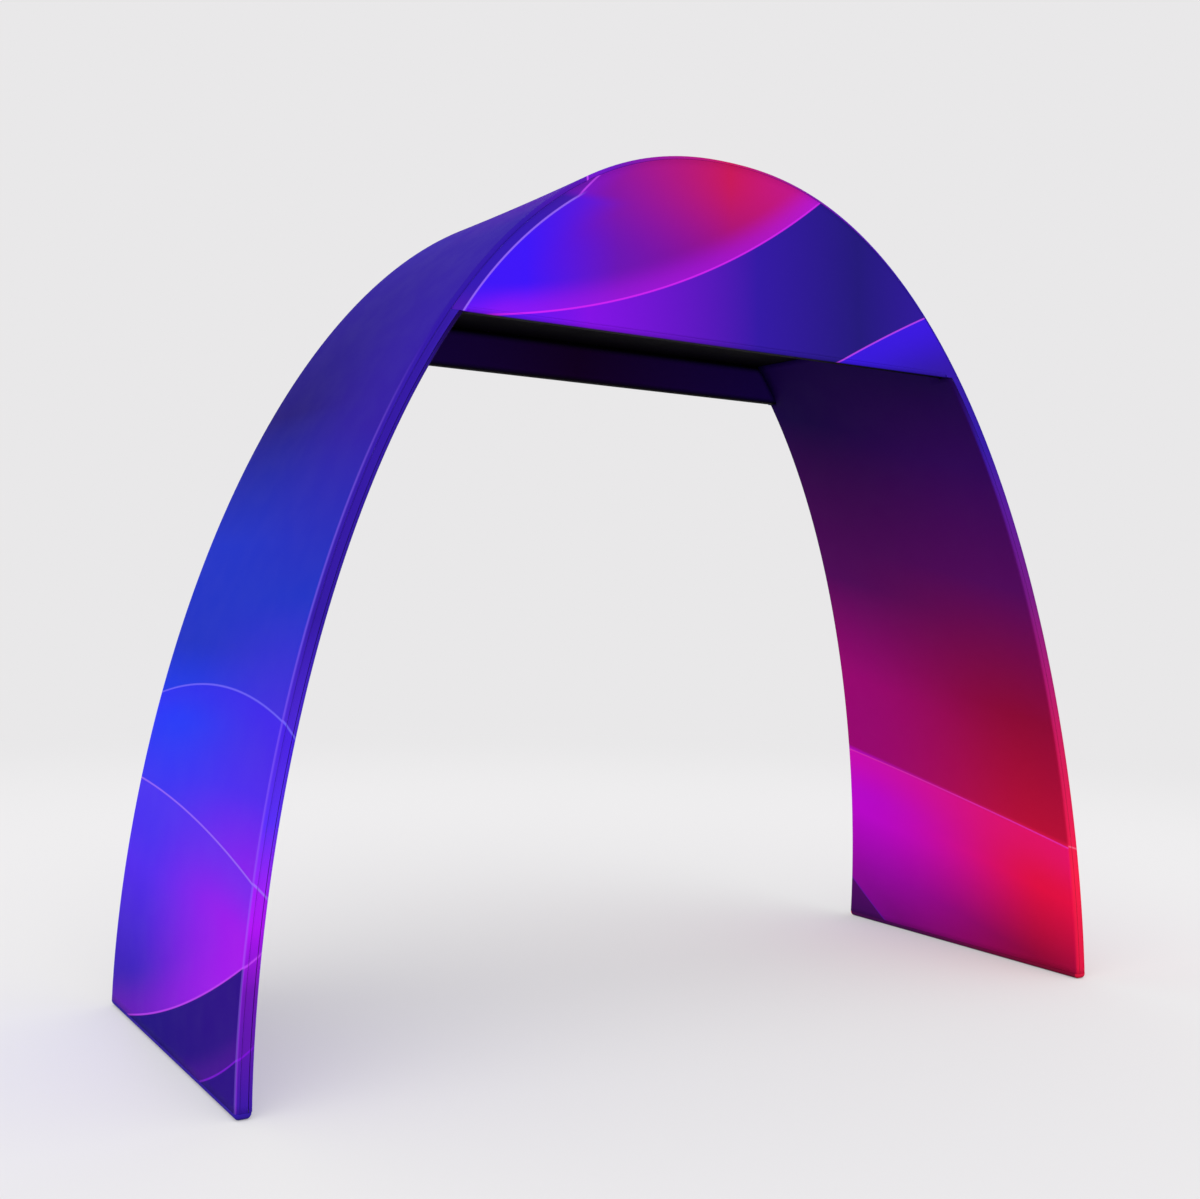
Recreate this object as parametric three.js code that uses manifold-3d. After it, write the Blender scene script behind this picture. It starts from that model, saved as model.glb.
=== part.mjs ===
// Tension fabric arch: a printed stretch cover pulled over a thin arch-shaped frame of tube.
// Millimetres, +Z up, +X along the width, and the front face looks towards -Y.
// The origin is on the floor, midway between the two feet.

import * as THREE from 'three';
import { mergeVertices } from 'three/addons/utils/BufferGeometryUtils.js';
import Module from 'manifold-3d';

const wasm = await Module();
wasm.setup();

// Overall sizes
const WIDTH = 3000;
const HEIGHT = 2580;
const DEPTH = 1160;
const LEAN = 0.055;
const SIDE_POWER = 2.2;
const CROWN_POWER = 1.83;

// Heights of the header's underside and of the panel recessed between the two headers
const LINTEL = 2020;
const SOFFIT = 2150;

// Cloth and the gap that parts each piece from the next
const SHEET = 2;
const GAP = 0.3;
const CORNER = 12;

// Arch and header tubes, of square section with rounded-off corners
const TUBE = 40;
const TUBE_WALL = 2;
const TUBE_CHAMFER = 10;
const TUBE_JOINT_HEIGHT = 1400;

// The cover is as thick as a tube with a sheet of cloth on either side
const BAND = TUBE + 2 * (SHEET + GAP);

// Cross tubes from the front arch to the back arch
const CROSS_TUBE = 30;
const CROSS_MID_HEIGHT = 1050;
const CROSS_HEADER_HEIGHT = 2075;

// Feet: a shallow cloth tray with a rolled rim, and the steel bar that stands in it
const FOOT_ROLL = 16;
const FOOT_RIM = 18;
const FOOT_STRAIGHT = 40;
const BAR_WIDTH = 12;
const BAR_SETBACK = 16.5;

// Fineness of the faceted curves
const HALF_STATIONS = 30;
const CORNER_STEPS = 3;
const FINE_STEPS = 3000;

const CROWN = HALF_STATIONS;
const LEG_START = FOOT_RIM + GAP;
const TUBE_START = FOOT_ROLL + GAP;
const FAR = 2 * WIDTH;

const list = (count, make) => Array.from({ length: count }, (_, i) => make(i));
const mix = (a, b, t) => a + (b - a) * t;

// A frame is a point on the cover's outer face, with the unit direction from it into the opening.
// The outline is a superellipse, and the direction follows from its gradient.
function outlineFrame(angle) {
  const across = Math.max(Math.cos(angle), 0) ** (2 / SIDE_POWER);
  const up = Math.sin(angle) ** (2 / CROWN_POWER);
  const slopeX = SIDE_POWER * across ** (SIDE_POWER - 1) / (WIDTH / 2);
  const slopeZ = CROWN_POWER * up ** (CROWN_POWER - 1) / HEIGHT;
  const steep = Math.hypot(slopeX, slopeZ);
  return { x: (WIDTH / 2) * across, z: HEIGHT * up, nx: -slopeX / steep, nz: -slopeZ / steep };
}

// Frames of the right half from the floor to the crown. The lowest stretch is upright, and the
// rest are evenly spaced along the curve.
function makeStations() {
  const upright = (z) => ({ x: WIDTH / 2, z, nx: -1, nz: 0 });
  const startAngle = Math.asin((FOOT_STRAIGHT / HEIGHT) ** (CROWN_POWER / 2));
  const fine = list(FINE_STEPS + 1, (i) => outlineFrame(mix(startAngle, Math.PI / 2, i / FINE_STEPS)));
  const lengths = [0];
  for (let i = 1; i <= FINE_STEPS; i++) {
    const step = Math.hypot(fine[i].x - fine[i - 1].x, fine[i].z - fine[i - 1].z);
    lengths.push(lengths[i - 1] + step);
  }
  const spans = HALF_STATIONS - 1;
  const picked = list(spans, (i) => {
    const wanted = lengths[FINE_STEPS] * (i + 1) / spans;
    return fine[lengths.findIndex((length) => length >= wanted - 1e-6)];
  });
  return [upright(0), upright(FOOT_STRAIGHT), ...picked];
}
const stations = makeStations();
stations[CROWN].x = 0;

// The frame at a place between two stations, on the straight line that joins them
function frameAt(where) {
  const i = Math.min(Math.floor(where), CROWN - 1);
  const [a, b] = [stations[i], stations[i + 1]];
  const t = where - i;
  return { x: mix(a.x, b.x, t), z: mix(a.z, b.z, t), nx: mix(a.nx, b.nx, t), nz: mix(a.nz, b.nz, t) };
}

// The place along the right half where the line at an inward offset reaches a height
function placeAt(height, inward = 0) {
  const heightOf = (frame) => frame.z + inward * frame.nz;
  const i = Math.max(stations.findIndex((frame) => heightOf(frame) > height) - 1, 0);
  const [low, high] = [heightOf(stations[i]), heightOf(stations[i + 1])];
  return i + (height - low) / (high - low);
}

// Frames of the right half between two places, both included
function spanFrames(from, to) {
  const inner = list(CROWN + 1, (i) => i).filter((i) => i > from + 1e-6 && i < to - 1e-6);
  return [from, ...inner, to].map(frameAt);
}

const mirrored = (frame) => ({ ...frame, x: -frame.x, nx: -frame.nx });

// Frames of the whole arch between one place on the left and the same place on the right
function archFrames(from) {
  const right = spanFrames(from, CROWN);
  return [...right.map(mirrored), ...right.slice(0, -1).reverse()];
}

// A point of the part: inset is measured from the leaning front face (side -1) or back face (side 1)
function place(x, z, inset, side) {
  return [x, side * (DEPTH / 2 - LEAN * z - inset), z];
}

function framePoint(frame, inward, inset, side) {
  return place(frame.x + inward * frame.nx, frame.z + inward * frame.nz, inset, side);
}

function makeGeometry(positions, index) {
  const geometry = new THREE.BufferGeometry();
  geometry.setAttribute('position', new THREE.BufferAttribute(new Float32Array(positions), 3));
  geometry.setIndex(index);
  return facingOut(geometry);
}

// Turns every triangle round if the closed surface is inside out
function facingOut(geometry) {
  const position = geometry.attributes.position;
  const index = geometry.index.array;
  const [a, b, c] = [new THREE.Vector3(), new THREE.Vector3(), new THREE.Vector3()];
  let volume = 0;
  for (let i = 0; i < index.length; i += 3) {
    a.fromBufferAttribute(position, index[i]);
    b.fromBufferAttribute(position, index[i + 1]);
    c.fromBufferAttribute(position, index[i + 2]);
    volume += a.dot(b.cross(c));
  }
  if (volume < 0) {
    for (let i = 0; i < index.length; i += 3) {
      [index[i], index[i + 1]] = [index[i + 1], index[i]];
    }
  }
  geometry.computeVertexNormals();
  return geometry;
}

// A closed wall between two equal grids of points. Rows run along the piece and columns across
// it, and a ring wall joins its last column to its first, as round a tube.
function wall(outer, inner, isRing = false) {
  const rows = outer.length;
  const columns = outer[0].length;
  const spans = isRing ? columns : columns - 1;
  const index = [];
  const at = (layer, i, j) => (layer * rows + i) * columns + (j % columns);
  const quad = (a, b, c, d) => index.push(a, b, c, a, c, d);
  for (let j = 0; j < spans; j++) {
    for (let i = 0; i < rows - 1; i++) {
      quad(at(0, i, j), at(0, i + 1, j), at(0, i + 1, j + 1), at(0, i, j + 1));
      quad(at(1, i, j), at(1, i, j + 1), at(1, i + 1, j + 1), at(1, i + 1, j));
    }
    const last = rows - 1;
    quad(at(0, 0, j), at(0, 0, j + 1), at(1, 0, j + 1), at(1, 0, j));
    quad(at(0, last, j), at(1, last, j), at(1, last, j + 1), at(0, last, j + 1));
  }
  for (let i = 0; i < rows - 1 && !isRing; i++) {
    const last = columns - 1;
    quad(at(0, i, 0), at(1, i, 0), at(1, i + 1, 0), at(0, i + 1, 0));
    quad(at(0, i, last), at(0, i + 1, last), at(1, i + 1, last), at(1, i, last));
  }
  return makeGeometry([...outer.flat(2), ...inner.flat(2)], index);
}

// A closed body through rings of equal count, with a flat convex cap on its first and last ring
function loft(rings) {
  const count = rings[0].length;
  const index = [];
  for (let i = 0; i < rings.length - 1; i++) {
    for (let j = 0; j < count; j++) {
      const next = (j + 1) % count;
      const [a, b] = [i * count + j, i * count + next];
      index.push(a, b, b + count, a, b + count, a + count);
    }
  }
  const top = (rings.length - 1) * count;
  for (let j = 1; j < count - 1; j++) {
    index.push(0, j + 1, j, top, top + j, top + j + 1);
  }
  return makeGeometry(rings.flat(2), index);
}

function toSolid(geometry) {
  const bare = geometry.clone();
  bare.deleteAttribute('normal');
  bare.deleteAttribute('uv');
  const merged = mergeVertices(bare, 1e-4);
  const vertProperties = merged.attributes.position.array;
  const triVerts = new Uint32Array(merged.index.array);
  return new wasm.Manifold(new wasm.Mesh({ numProp: 3, vertProperties, triVerts }));
}

function toGeometry(solid) {
  const { vertProperties, triVerts } = solid.getMesh();
  return makeGeometry(vertProperties, Array.from(triVerts));
}

// Cutting blocks and the space that lies further in than a given offset from the outline
function headerSpace(lowest, deepest, side) {
  const corners = [[-SHEET, lowest], [deepest, lowest], [deepest, HEIGHT], [-SHEET, HEIGHT]];
  return toSolid(loft([-FAR, FAR].map((x) => corners.map(([inset, z]) => place(x, z, inset, side)))));
}

function everythingAbove(height) {
  const ring = (z) => [[-FAR, -FAR, z], [FAR, -FAR, z], [FAR, FAR, z], [-FAR, FAR, z]];
  return toSolid(loft([ring(height), ring(HEIGHT)]));
}

function furtherIn(inward) {
  const outline = archFrames(0).map((frame) => [frame.x + inward * frame.nx, frame.z + inward * frame.nz]);
  return toSolid(loft([-FAR, FAR].map((y) => outline.map(([x, z]) => [x, y, z]))));
}

// The cover's long edges: a section line over the full depth that turns the front and back
// corners, for the face of the sheet that lies the given depth below the outside
function cornerLine(below) {
  const radius = CORNER - below;
  const turn = list(CORNER_STEPS + 1, (i) => (Math.PI / 2) * i / CORNER_STEPS);
  const front = turn.map((angle) => ({
    inward: CORNER - radius * Math.sin(angle),
    inset: CORNER - radius * Math.cos(angle),
    side: -1,
  }));
  return [...front, ...front.map((point) => ({ ...point, side: 1 })).reverse()];
}

function coverGrid(frames, below, fromInside) {
  return frames.map((frame) => cornerLine(below).map(({ inward, inset, side }) => (
    framePoint(frame, fromInside ? BAND - inward : inward, inset, side)
  )));
}

function outerPanel() {
  const frames = archFrames(placeAt(LEG_START));
  return wall(coverGrid(frames, 0, false), coverGrid(frames, SHEET, false));
}

// Each inner panel stops under the headers at front and back, and at the soffit between them
function innerPanel(hand) {
  const frames = spanFrames(placeAt(LEG_START), placeAt(SOFFIT + 2 * BAND, BAND));
  const handed = hand > 0 ? frames : frames.map(mirrored);
  const leg = toSolid(wall(coverGrid(handed, 0, true), coverGrid(handed, SHEET, true)));
  const trimmed = leg
    .subtract(headerSpace(LINTEL - GAP, BAND + GAP, -1))
    .subtract(headerSpace(LINTEL - GAP, BAND + GAP, 1))
    .subtract(everythingAbove(SOFFIT - GAP));
  return toGeometry(trimmed);
}

// The line at an inward offset along the right half of the outline, from one height to another
function insetLine(inward, low, high = HEIGHT) {
  const last = high < HEIGHT ? placeAt(high, inward) : CROWN;
  return spanFrames(placeAt(low, inward), last)
    .map((frame) => [frame.x + inward * frame.nx, frame.z + inward * frame.nz]);
}

// A flat panel of the front or back face, from its outline in width and height
function facePanel(outline, side) {
  const shape = new THREE.Shape(outline.map(([x, z]) => new THREE.Vector2(x, z)));
  const sheet = new THREE.ExtrudeGeometry(shape, { depth: SHEET, bevelEnabled: false });
  const flat = toSolid(sheet).getMesh();
  const points = list(flat.vertProperties.length / 3, (i) => flat.vertProperties.slice(3 * i, 3 * i + 3));
  return makeGeometry(points.flatMap(([x, z, inset]) => place(x, z, inset, side)), Array.from(flat.triVerts));
}

// The narrow face of a leg, up to the header
function legFace(hand, side) {
  const outside = insetLine(CORNER + GAP, LEG_START, LINTEL - GAP);
  const inside = insetLine(BAND - CORNER - GAP, LEG_START, LINTEL - GAP);
  return facePanel([...outside, ...inside.reverse()].map(([x, z]) => [hand * x, z]), side);
}

// The face of a header, from its bottom fold to the crown
function headerFace(side) {
  const outside = insetLine(CORNER + GAP, LINTEL);
  const inside = insetLine(BAND - SHEET - GAP, LINTEL, LINTEL + CORNER + GAP);
  const half = [...outside.reverse(), ...inside];
  const otherHalf = half.slice(1).reverse().map(([x, z]) => [-x, z]);
  return facePanel([...half, ...otherHalf], side);
}

// The strip that rounds the header's bottom edge and runs up its hidden side to the soffit
function headerReturn(side) {
  const turn = list(CORNER_STEPS + 1, (i) => (Math.PI / 2) * i / CORNER_STEPS);
  const line = (below) => {
    const radius = CORNER - below;
    const face = turn.map((angle) => [
      CORNER - radius * Math.cos(angle),
      LINTEL + CORNER - radius * Math.sin(angle),
    ]);
    const hidden = face.map(([inset, z]) => [BAND - inset, z]).reverse();
    return [...face, ...hidden, [BAND - below, SOFFIT - GAP]];
  };
  const grid = (below) => [-WIDTH / 2, WIDTH / 2].map((x) => (
    line(below).map(([inset, z]) => place(x, z, inset, side))
  ));
  const strip = toSolid(wall(grid(0), grid(SHEET)));
  return toGeometry(strip.intersect(furtherIn(BAND - SHEET)));
}

// The panel recessed between the headers lies on the top edges of their hidden sides
function soffitPanel() {
  const ring = (x) => [
    place(x, SOFFIT, BAND - SHEET, -1),
    place(x, SOFFIT, BAND - SHEET, 1),
    place(x, SOFFIT + SHEET, BAND - SHEET, 1),
    place(x, SOFFIT + SHEET, BAND - SHEET, -1),
  ];
  const sheet = toSolid(loft([ring(-WIDTH / 2), ring(WIDTH / 2)]));
  return toGeometry(sheet.intersect(furtherIn(BAND - SHEET)));
}

// The tray that closes a leg at the floor: rings from its flat underside over the rim and down
// again to its inner floor
function footPanel(hand) {
  const turn = list(CORNER_STEPS + 1, (i) => (Math.PI / 2) * i / CORNER_STEPS);
  const roll = (below) => turn.map((angle) => ({
    inset: FOOT_ROLL - (FOOT_ROLL - below) * Math.sin(angle),
    z: FOOT_ROLL - (FOOT_ROLL - below) * Math.cos(angle),
  }));
  const rim = [{ inset: 0, z: FOOT_RIM }, { inset: SHEET, z: FOOT_RIM }];
  const profile = [...roll(0), ...rim, ...roll(SHEET).reverse()];
  const centre = hand * (WIDTH - BAND) / 2;
  const ring = ({ inset, z }) => {
    const radius = Math.max(CORNER - inset, 1);
    const halfX = BAND / 2 - inset - radius;
    const halfY = DEPTH / 2 - LEAN * z - inset - radius;
    return [[1, 1], [-1, 1], [-1, -1], [1, -1]].flatMap(([signX, signY], quarter) => (
      turn.map((angle) => {
        const bearing = angle + quarter * Math.PI / 2;
        const x = centre + signX * halfX + radius * Math.cos(bearing);
        return [x, signY * halfY + radius * Math.sin(bearing), z];
      })
    ));
  };
  return loft(profile.map(ring));
}

// Corners of a square tube section with its corners cut off, round the middle of the section
function tubeSection(below) {
  const half = TUBE / 2 - below;
  const flat = half - TUBE_CHAMFER + below * (2 - Math.SQRT2);
  return [[half, -flat], [half, flat], [flat, half], [-flat, half],
    [-half, flat], [-half, -flat], [-flat, -half], [flat, -half]];
}

function archTube(frames, side) {
  const grid = (below) => frames.map((frame) => tubeSection(below).map(([inward, inset]) => (
    framePoint(frame, BAND / 2 + inward, BAND / 2 + inset, side)
  )));
  return wall(grid(0), grid(TUBE_WALL), true);
}

function headerTube(side) {
  const grid = (below) => [-WIDTH / 2, WIDTH / 2].map((x) => tubeSection(below).map(([inset, up]) => (
    place(x, LINTEL + BAND / 2 + up, BAND / 2 + inset, side)
  )));
  return toGeometry(toSolid(wall(grid(0), grid(TUBE_WALL), true)).intersect(furtherIn(BAND - SHEET)));
}

// A steel bar in the foot, under the ends of the front and back arch tubes
function baseBar(hand) {
  const centre = hand * (WIDTH - BAND) / 2;
  const ring = (z) => [[-1, -1], [1, -1], [1, 1], [-1, 1]].map(([signX, side]) => (
    place(centre + signX * BAR_WIDTH / 2, z, BAR_SETBACK, side)
  ));
  return loft([ring(SHEET + GAP), ring(FOOT_ROLL)]);
}

// A straight tube from the front arch to the back arch, square to the outline
function crossTube(frame) {
  const grid = (below) => [-1, 1].map((side) => {
    const half = CROSS_TUBE / 2 - below;
    return [[-half, -half], [half, -half], [half, half], [-half, half]].map(([inward, along]) => {
      const x = frame.x + (BAND / 2 + inward) * frame.nx - along * frame.nz;
      const z = frame.z + (BAND / 2 + inward) * frame.nz + along * frame.nx;
      return place(x, z, BAND - SHEET, side);
    });
  });
  return wall(grid(0), grid(TUBE_WALL), true);
}

const cloth = (color) => () => new THREE.MeshStandardMaterial({ color, roughness: 0.85, metalness: 0 });
const metal = (color) => () => new THREE.MeshStandardMaterial({ color, roughness: 0.4, metalness: 1 });
const FINISHES = {
  outer: cloth(0x2a1cae),
  inner: cloth(0x7a1050),
  face: cloth(0x5a1cc8),
  underside: cloth(0x120c22),
  foot: cloth(0x1c1060),
  tube: metal(0xc9ccd0),
  bar: metal(0x8d9196),
};

const group = new THREE.Group();

function add(name, geometry, finish) {
  const mesh = new THREE.Mesh(geometry, FINISHES[finish]());
  mesh.name = name;
  group.add(mesh);
}

const SIDES = [['front', -1], ['back', 1]];
const HANDS = [['left', -1], ['right', 1]];

// The cloth cover
add('outer_panel', outerPanel(), 'outer');
for (const [name, hand] of HANDS) {
  add(`inner_panel_${name}`, innerPanel(hand), 'inner');
  add(`foot_panel_${name}`, footPanel(hand), 'foot');
}
for (const [name, side] of SIDES) {
  add(`header_face_${name}`, headerFace(side), 'face');
  add(`leg_face_${name}_left`, legFace(-1, side), 'face');
  add(`leg_face_${name}_right`, legFace(1, side), 'face');
  add(`header_return_${name}`, headerReturn(side), 'underside');
}
add('soffit_panel', soffitPanel(), 'underside');

// The frame inside it
const joint = placeAt(TUBE_JOINT_HEIGHT);
const legFrames = spanFrames(placeAt(TUBE_START), joint);
for (const [name, side] of SIDES) {
  add(`arch_tube_${name}_left`, archTube(legFrames.map(mirrored), side), 'tube');
  add(`arch_tube_${name}_right`, archTube(legFrames, side), 'tube');
  add(`arch_tube_${name}_top`, archTube(archFrames(placeAt(TUBE_JOINT_HEIGHT + GAP)), side), 'tube');
  add(`header_tube_${name}`, headerTube(side), 'tube');
}
for (const [name, hand] of HANDS) {
  const handed = (height) => {
    const frame = frameAt(placeAt(height));
    return hand > 0 ? frame : mirrored(frame);
  };
  add(`base_bar_${name}`, baseBar(hand), 'bar');
  add(`cross_tube_mid_${name}`, crossTube(handed(CROSS_MID_HEIGHT)), 'tube');
  add(`cross_tube_header_${name}`, crossTube(handed(CROSS_HEADER_HEIGHT)), 'tube');
}
add('cross_tube_top', crossTube(frameAt(CROWN)), 'tube');

export default group;
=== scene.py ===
# Looks of the tension fabric arch: the printed stretch cover, the frame inside it and the studio.
# Metres, +Z up, +X along the width, and the front face looks towards -Y.
import math
from bisect import bisect_left

import bpy
from mathutils import Matrix, Vector


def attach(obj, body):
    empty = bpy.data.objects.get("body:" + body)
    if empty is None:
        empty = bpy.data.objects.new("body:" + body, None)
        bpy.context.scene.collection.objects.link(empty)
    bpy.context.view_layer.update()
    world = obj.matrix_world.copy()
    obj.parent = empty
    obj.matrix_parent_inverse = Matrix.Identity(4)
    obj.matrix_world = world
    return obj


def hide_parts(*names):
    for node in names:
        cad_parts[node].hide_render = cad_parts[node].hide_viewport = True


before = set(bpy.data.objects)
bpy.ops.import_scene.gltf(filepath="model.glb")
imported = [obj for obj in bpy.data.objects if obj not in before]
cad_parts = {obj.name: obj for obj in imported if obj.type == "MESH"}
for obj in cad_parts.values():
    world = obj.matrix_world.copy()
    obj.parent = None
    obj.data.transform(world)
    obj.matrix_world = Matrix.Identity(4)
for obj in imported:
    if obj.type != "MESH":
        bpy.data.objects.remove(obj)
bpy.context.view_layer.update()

# Sizes of the cover, the same as in the CAD
WIDTH, HEIGHT, DEPTH = 3.0, 2.58, 1.16
LEAN = 0.055
SIDE_POWER, CROWN_POWER = 2.2, 1.83
LINTEL, SOFFIT = 2.02, 2.15
BAND = 0.0446
CORNER = 0.012
GAP = 0.0003
LEG_START = 0.0183
FOOT_ROLL, FOOT_RIM, FOOT_STRAIGHT = 0.016, 0.018, 0.04

# Cloth as it is drawn: its thickness, how far it draws in between the tubes, and the height above
# the floor below which the draw-in fades out
CLOTH = 0.001
DRAW_IN = 0.003
FADE_AT_FEET = 0.4

# Distance of the inside cover's face from the outline
INNER_FACE = BAND + 0.0012

# Raised seams: their height and width, the slopes at their cut edge and on the cloth's side, how far
# they overlap the next piece, and how deep a cut edge is tucked in
SEAM_RISE, SEAM_WIDTH = 0.0006, 0.003
EDGE_SLOPE, CLOTH_SLOPE = 0.0005, 0.0008
SEAM_MARGIN = 0.0001
TUCK = 0.0006

# Seams of the narrow leg faces: where they have columns, how wide the cut edge is and how deep its tuck
LEG_SEAM_COLUMNS = (0.0, 0.0005, 0.002, 0.003)
LEG_CUT, LEG_TUCK = 0.0003, 0.0004

# Pointed ends of the header face: their height above the header's bottom, and the length of the slope
# over which the bottom fold rises from them
HEADER_TIP, TIP_SLOPE = 0.002, 0.004

# The soffit cloth: how far it lies above the CAD's soffit at its edges, and how far it hangs
SOFFIT_LIFT, SOFFIT_HANG = 0.0002, 0.003

# The foot: the inset of its flat sole, and the tightest corner of a ring
SOLE_INSET, TIGHT_CORNER = 0.021, 0.0004

# Fineness of the outline's table and of the search in it
TABLE_STEPS, HALVINGS = 4000, 50

# Fineness of the cloth grids. The header's lowest rows are shares of its height, close to the fold.
OUTER_ROWS, LEG_ROWS, RECESS_ROWS = 300, 110, 8
MIDDLE_COLUMNS, CORNER_COLUMNS, LEG_COLUMNS = 34, 9, 4
HEADER_COLUMNS, HEADER_ROWS = 150, 26
FOLD_ROWS = [0, 0.01, 0.03]
RETURN_COLUMNS, RETURN_TURN, RETURN_FLAT, RETURN_RISE = 80, 8, 4, 8
SOFFIT_ROWS, SOFFIT_COLUMNS = 60, 30
FOOT_TURN, FOOT_SIDE = 6, 30

# The dyes of the print. Every gradient and line runs between these few colours. Night, black plum and deep
# shade also stand in as painted shade: on the undersides and the soffit, at the tops of the legs' insides
# and at the feet's bottoms.
DYES = {
    "azure": "#2048f8", "electric blue": "#4018ff", "royal blue": "#203cc4", "blue violet": "#5832f0",
    "indigo": "#341ca0", "deep indigo": "#1a0480", "navy": "#241c78", "night": "#180840",
    "violet": "#b018f0", "grape": "#8414e0", "purple": "#6c18b0", "aubergine": "#300c54",
    "mulberry": "#781c80", "plum": "#501058", "black plum": "#140120", "deep shade": "#040206",
    "magenta": "#b808c8", "fuchsia": "#c01890", "cerise": "#980870", "hot pink": "#ff1490",
    "rose": "#cc1c58", "crimson": "#d81840", "scarlet": "#f82048", "brick": "#b01834", "wine": "#880f34",
    "pale blue": "#7468ff", "lilac": "#a070ff", "orchid": "#c848f8", "bright orchid": "#e028fc",
    "pink": "#ff38c8", "pale rose": "#ff6a90",
}

# Gains on red, green and blue that make a dye look as its code says under this studio's light
OUTER_GAIN = (0.86, 0.68, 0.98)
INNER_GAIN = (1.36, 0.6, 1.32)
FACE_GAIN = (0.98, 0.8, 1.06)
LEG_GAIN = (1.04, 0.9, 1.06)
# The last gain is that of the painted shade on the undersides
SHADE_GAIN = (2.1, 1.6, 2.4)

# Gradients by height in metres. Those of a face's front edge and back edge are blended across it.
OUTER_LEFT_FRONT = [(0.0, "violet"), (0.45, "violet"), (0.75, "blue violet"), (1.25, "royal blue"),
                    (1.7, "indigo"), (2.3, "indigo"), (2.5, "purple")]
OUTER_LEFT_BACK = [(0.0, "indigo"), (0.45, "blue violet"), (0.9, "azure"), (1.1, "royal blue"),
                   (1.4, "royal blue"), (1.8, "navy"), (2.4, "indigo")]
OUTER_RIGHT_FRONT = [(0.0, "crimson"), (0.35, "scarlet"), (0.8, "rose"), (1.3, "mulberry"),
                     (1.8, "indigo"), (2.3, "indigo"), (2.5, "purple")]
OUTER_RIGHT_BACK = [(0.0, "plum"), (0.5, "magenta"), (1.0, "cerise"), (1.4, "plum"), (1.9, "aubergine"),
                    (2.4, "navy")]
CROWN_FRONT = [(2.58, "rose")]
CROWN_BACK = [(2.58, "mulberry")]
# The insides of the legs darken upwards to night: partly their print, partly painted shade under the
# headers, which also fills the recess up to the soffit
INNER_LEFT_FRONT = [(0.0, "indigo"), (0.45, "grape"), (0.9, "indigo"), (1.4, "navy"), (2.0, "night")]
INNER_LEFT_BACK = [(0.0, "navy"), (0.9, "indigo"), (1.4, "navy"), (2.0, "night")]
LEG_LEFT_FRONT = [(0.0, "indigo"), (0.3, "purple"), (0.45, "violet"), (0.7, "blue violet"),
                  (1.2, "indigo"), (2.0, "indigo")]

# The right leg's inside is tinted along a slope: its stops hold at the front, and rise towards the back
INNER_SLOPE = 0.22
INNER_RIGHT_FRONT = [(0.0, "wine"), (0.25, "crimson"), (0.44, "scarlet"), (0.46, "brick"), (0.85, "wine"),
                     (1.3, "plum"), (1.7, "aubergine"), (2.0, "night")]
INNER_RIGHT_BACK = [(-0.25, "plum"), (0.2, "magenta"), (0.44, "magenta"), (0.46, "cerise"),
                    (0.75, "cerise"), (1.15, "plum"), (1.75, "night")]

# Gradients of the header across its width: above the long arc, along the crown, and below the arc
HEADER_UPPER = [(-0.7, "electric blue"), (-0.4, "purple"), (0.2, "cerise")]
HEADER_CROWN = [(-0.6, "purple"), (0.0, "rose"), (0.3, "fuchsia"), (0.55, "purple")]
HEADER_LOWER = [(-0.85, "electric blue"), (-0.5, "grape"), (0.1, "indigo"), (0.5, "navy"), (0.9, "indigo")]
# Painted shade of the undersides across their width: near black, a little bluer at the ends
UNDERSIDE_SHADE = [(-0.9, "night"), (0.0, "black plum"), (0.9, "night")]

# Circles of the arcs that run over more than one face, as a centre and a radius in metres
HEADER_CIRCLE = ((-1.121, 4.354), 2.355)
LEFT_CIRCLE = ((1.448, -6.3), 7.0)
RIGHT_CIRCLE = ((4.84, -18.965), 20.0)

# A printed line: half its width, where its soft edge ends, and how strongly it covers what is below
LINE_HALF = 0.0012
LINE_EDGE = 3.2 * LINE_HALF
LINE_SHARE = 0.75

# Heights above which the arcs of the wide faces and of the narrow leg faces aren't printed
LEFT_ARCS_TOP, RIGHT_ARCS_TOP, LEG_ARCS_TOP = 2.0, 2.2, 1.2

# Heights between which the outside's crown arc appears, the header takes on its crown colours, and the
# header's left arc goes over from its lower branch to its upper one
CROWN_ARC_START, CROWN_START, FORK = (2.25, 2.42), (2.22, 2.54), (2.375, 2.41)

# Inset from the front face up to which a corner shows the arcs of the narrow face
CORNER_PRINT = 0.0045

# Sizes of the patterns. This knit has ribs about 0.8 mm apart, drawn 1.6 mm apart so that they show. The
# unevenness of its stretch is about 110 mm across. Marks on the metal are under a millimetre across,
# and are drawn at 17 mm so that they show.
RIB, WISP, METAL_MARK = 0.0016, 0.111, 0.0167

# Settings of the nodes that ease from one value to another, and that mix two colours
SMOOTH = {"interpolation_type": "SMOOTHSTEP"}
COLOUR_MIX = {"data_type": "RGBA"}


def outline_frame(angle):
    """A point of the superellipse outline and the unit direction from it into the opening."""
    across = max(math.cos(angle), 0.0) ** (2 / SIDE_POWER)
    up = math.sin(angle) ** (2 / CROWN_POWER)
    slope_x = SIDE_POWER * across ** (SIDE_POWER - 1) / (WIDTH / 2)
    slope_z = CROWN_POWER * up ** (CROWN_POWER - 1) / HEIGHT
    steep = math.hypot(slope_x, slope_z)
    return WIDTH / 2 * across, HEIGHT * up, -slope_x / steep, -slope_z / steep


def outline_table():
    """Frames of the right half from the floor to the crown, and their distances from the floor."""
    start = math.asin((FOOT_STRAIGHT / HEIGHT) ** (CROWN_POWER / 2))
    frames = [(WIDTH / 2, 0.0, -1.0, 0.0)]
    for i in range(TABLE_STEPS + 1):
        frames.append(outline_frame(start + (math.pi / 2 - start) * i / TABLE_STEPS))
    lengths = [0.0]
    for a, b in zip(frames, frames[1:]):
        lengths.append(lengths[-1] + math.hypot(b[0] - a[0], b[1] - a[1]))
    return frames, lengths


FRAMES, LENGTHS = outline_table()
HALF = LENGTHS[-1]


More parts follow.
